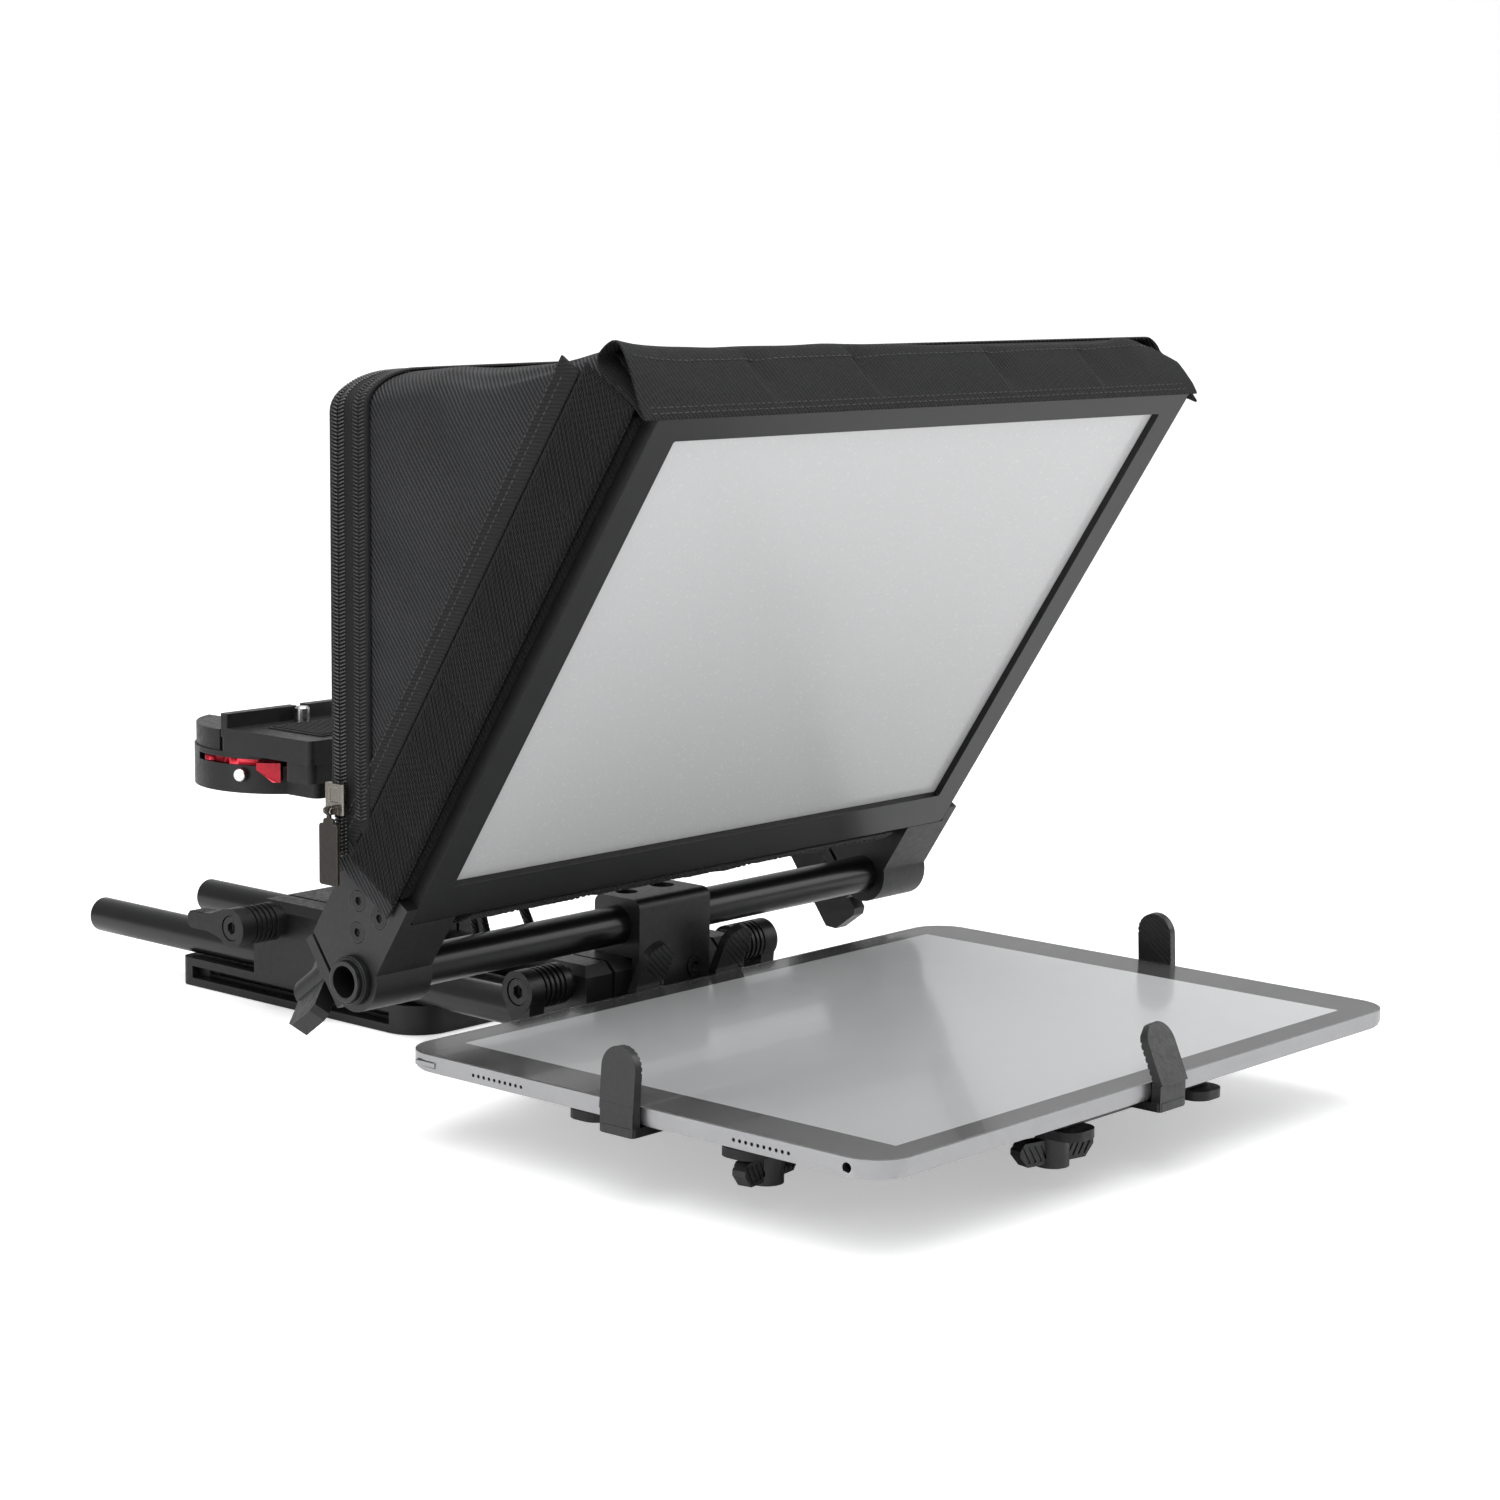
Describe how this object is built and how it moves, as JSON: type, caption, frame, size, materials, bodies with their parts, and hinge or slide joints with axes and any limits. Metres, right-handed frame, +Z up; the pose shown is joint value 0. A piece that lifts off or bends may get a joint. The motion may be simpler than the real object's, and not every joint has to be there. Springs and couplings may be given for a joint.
{
  "type": "teleprompter",
  "caption": "Through-the-glass teleprompter on two rods: hooded beamsplitter glass tilting on a cross tube, tablet in a finger cradle, and a quick-release camera base.",
  "frame": {"origin": "centre of the base plate's underside", "axes": "+Z up, -Y towards the presenter, +X to the right of someone who looks at the glass from the front"},
  "size_m": [0.3252, 0.551, 0.2842],
  "materials": {
    "black_anodised": "fine satin black anodising",
    "rod_black": "smooth black anodised tube",
    "frame_black": "satin black powder coat",
    "knob_plastic": "moulded black plastic",
    "clip_plastic": "leathery black moulded plastic",
    "rubber": "ribbed rubber",
    "steel": "plain steel",
    "black_steel": "black oxide",
    "red_lever": "red anodised",
    "glass": "half-silvered coating",
    "hood_fabric": "woven nylon",
    "hook_loop": "hook and loop tape",
    "zipper": "coil zip",
    "gunmetal": "gun-metal zip slider",
    "cord": "braided cord",
    "tablet_metal": "bead-blasted silver aluminium",
    "tablet_glass": "polished cover glass with grey screen and dark border",
    "battery": "battery wrap",
    "circuit": "solder mask"
  },
  "bodies": {
    "base": {"base_plate": "black_anodised", "base_clamp": "black_anodised", "base_clamp_screws": "black_steel", "riser_lower": "black_anodised", "rear_lever_screws": "black_steel"},
    "rear_left_lever": {"rear_left_lever": "black_anodised"},
    "rear_right_lever": {"rear_right_lever": "black_anodised"},
    "riser": {"riser_upper": "black_anodised", "quick_base": "black_anodised"},
    "riser_knob": {"riser_knob": "knob_plastic"},
    "quick_lever": {"quick_lever": "red_lever"},
    "quick_pin": {"quick_pin": "steel"},
    "quick_plate": {"quick_plate": "black_anodised", "quick_pad": "rubber"},
    "camera_screw": {"camera_screw": "steel"},
    "rods": {"left_rod": "rod_black", "right_rod": "rod_black", "front_clamp": "black_anodised", "centre_block": "black_anodised", "centre_block_screws": "black_steel", "cradle_arm": "black_anodised", "cradle_arm_screws": "black_steel", "front_lever_screws": "black_steel"},
    "front_left_lever": {"front_left_lever": "black_anodised"},
    "front_right_lever": {"front_right_lever": "black_anodised"},
    "cross_tube": {"cross_tube": "rod_black", "tube_collars": "black_anodised"},
    "glass": {"glass_frame": "frame_black", "beamsplitter_glass": "glass", "glass_retainer": "rubber", "left_bracket": "frame_black", "right_bracket": "frame_black", "bracket_screws": "black_steel", "velcro_strips": "hook_loop", "hood_shell": "hood_fabric", "hood_top_flap": "hood_fabric", "hood_bottom_flap": "hood_fabric", "zipper_tape": "zipper", "draw_cords": "cord"},
    "left_wing_knob": {"left_wing_knob": "knob_plastic"},
    "right_wing_knob": {"right_wing_knob": "knob_plastic"},
    "zipper_slider": {"zipper_slider": "gunmetal"},
    "zipper_pull": {"zipper_pull": "gunmetal"},
    "cradle": {"cradle_plate": "black_anodised", "cradle_pads": "rubber", "tablet_shell": "tablet_metal", "tablet_glass": "tablet_glass", "tablet_battery": "battery", "tablet_board": "circuit"},
    "cradle_knob": {"cradle_knob": "knob_plastic"},
    "left_clip": {"left_clip": "clip_plastic"},
    "right_clip": {"right_clip": "clip_plastic"},
    "front_clip": {"front_clip": "clip_plastic"},
    "rear_clip": {"rear_clip": "clip_plastic"},
    "left_clip_knob": {"left_clip_knob": "knob_plastic"},
    "right_clip_knob": {"right_clip_knob": "knob_plastic"},
    "front_clip_knob": {"front_clip_knob": "knob_plastic"},
    "rear_clip_knob": {"rear_clip_knob": "knob_plastic"},
    "tablet_button": {"tablet_button": "tablet_metal"}
  },
  "joints": [
    {"name": "rod_slide", "type": "slide", "parent": "base", "child": "rods", "axis": [0, 1, 0], "range_m": [-0.09, 0.06]},
    {"name": "rear_left_lever_turn", "type": "hinge", "parent": "base", "child": "rear_left_lever", "pos_m": [-0.057, 0.002, 0.039], "axis": [1, 0, 0], "range_deg": [-120, 60]},
    {"name": "rear_right_lever_turn", "type": "hinge", "parent": "base", "child": "rear_right_lever", "pos_m": [0.057, 0.002, 0.039], "axis": [1, 0, 0], "range_deg": [-120, 60]},
    {"name": "riser_height", "type": "slide", "parent": "base", "child": "riser", "axis": [0, 0, 1], "range_m": [0, 0.022]},
    {"name": "riser_knob_turn", "type": "hinge", "parent": "riser", "child": "riser_knob", "pos_m": [0, -0.018, 0.065], "axis": [0, 1, 0], "continuous": true},
    {"name": "plate_slide", "type": "slide", "parent": "riser", "child": "quick_plate", "axis": [0, 1, 0], "range_m": [-0.03, 0]},
    {"name": "quick_lever_swing", "type": "hinge", "parent": "riser", "child": "quick_lever", "pos_m": [-0.0326, 0.056, 0.1], "axis": [0, 0, 1], "range_deg": [-55, 0]},
    {"name": "quick_pin_press", "type": "slide", "parent": "riser", "child": "quick_pin", "axis": [0.9272, 0.3746, 0], "range_m": [0, 0.0012]},
    {"name": "camera_screw_turn", "type": "hinge", "parent": "quick_plate", "child": "camera_screw", "pos_m": [0, 0.037, 0.11], "axis": [0, 0, 1], "continuous": true},
    {"name": "front_left_lever_turn", "type": "hinge", "parent": "rods", "child": "front_left_lever", "pos_m": [-0.057, -0.164, 0.039], "axis": [1, 0, 0], "range_deg": [-40, 70]},
    {"name": "front_right_lever_turn", "type": "hinge", "parent": "rods", "child": "front_right_lever", "pos_m": [0.057, -0.164, 0.039], "axis": [1, 0, 0], "range_deg": [-40, 70]},
    {"name": "tube_slide", "type": "slide", "parent": "rods", "child": "cross_tube", "axis": [1, 0, 0], "range_m": [-0.02, 0.02]},
    {"name": "glass_tilt", "type": "hinge", "parent": "cross_tube", "child": "glass", "pos_m": [0, -0.168, 0.058], "axis": [1, 0, 0], "range_deg": [-25, 12]},
    {"name": "left_wing_turn", "type": "hinge", "parent": "glass", "child": "left_wing_knob", "pos_m": [-0.1415, -0.1367, 0.04997], "axis": [0, 0.807, -0.5906], "continuous": true},
    {"name": "right_wing_turn", "type": "hinge", "parent": "glass", "child": "right_wing_knob", "pos_m": [0.1415, -0.1367, 0.04997], "axis": [0, 0.807, -0.5906], "continuous": true},
    {"name": "zipper_run", "type": "slide", "parent": "glass", "child": "zipper_slider", "axis": [0, 0, 1], "range_m": [-0.02, 0.125]},
    {"name": "zipper_pull_swing", "type": "hinge", "parent": "zipper_slider", "child": "zipper_pull", "pos_m": [-0.16365, -0.1652, 0.1196], "axis": [0, 1, 0], "range_deg": [0, 110]},
    {"name": "cradle_slide", "type": "slide", "parent": "rods", "child": "cradle", "axis": [0, 1, 0], "range_m": [-0.035, 0]},
    {"name": "cradle_knob_turn", "type": "hinge", "parent": "cradle", "child": "cradle_knob", "pos_m": [0, -0.2986, 0.008], "axis": [0, 0, 1], "continuous": true},
    {"name": "left_clip_slide", "type": "slide", "parent": "cradle", "child": "left_clip", "axis": [-1, 0, 0], "range_m": [0, 0.008]},
    {"name": "right_clip_slide", "type": "slide", "parent": "cradle", "child": "right_clip", "axis": [1, 0, 0], "range_m": [0, 0.008]},
    {"name": "front_clip_slide", "type": "slide", "parent": "cradle", "child": "front_clip", "axis": [0, -1, 0], "range_m": [0, 0.004]},
    {"name": "rear_clip_slide", "type": "slide", "parent": "cradle", "child": "rear_clip", "axis": [0, 1, 0], "range_m": [0, 0.003]},
    {"name": "left_clip_knob_turn", "type": "hinge", "parent": "left_clip", "child": "left_clip_knob", "pos_m": [-0.121, -0.3336, 0.015], "axis": [0, 0, 1], "continuous": true},
    {"name": "right_clip_knob_turn", "type": "hinge", "parent": "right_clip", "child": "right_clip_knob", "pos_m": [0.121, -0.2636, 0.015], "axis": [0, 0, 1], "continuous": true},
    {"name": "front_clip_knob_turn", "type": "hinge", "parent": "front_clip", "child": "front_clip_knob", "pos_m": [-0.038, -0.39, 0.015], "axis": [0, 0, 1], "continuous": true},
    {"name": "rear_clip_knob_turn", "type": "hinge", "parent": "rear_clip", "child": "rear_clip_knob", "pos_m": [0.038, -0.2072, 0.015], "axis": [0, 0, 1], "continuous": true},
    {"name": "tablet_button_press", "type": "slide", "parent": "cradle", "child": "tablet_button", "axis": [1, 0, 0], "range_m": [0, 0.0003]}
  ]
}
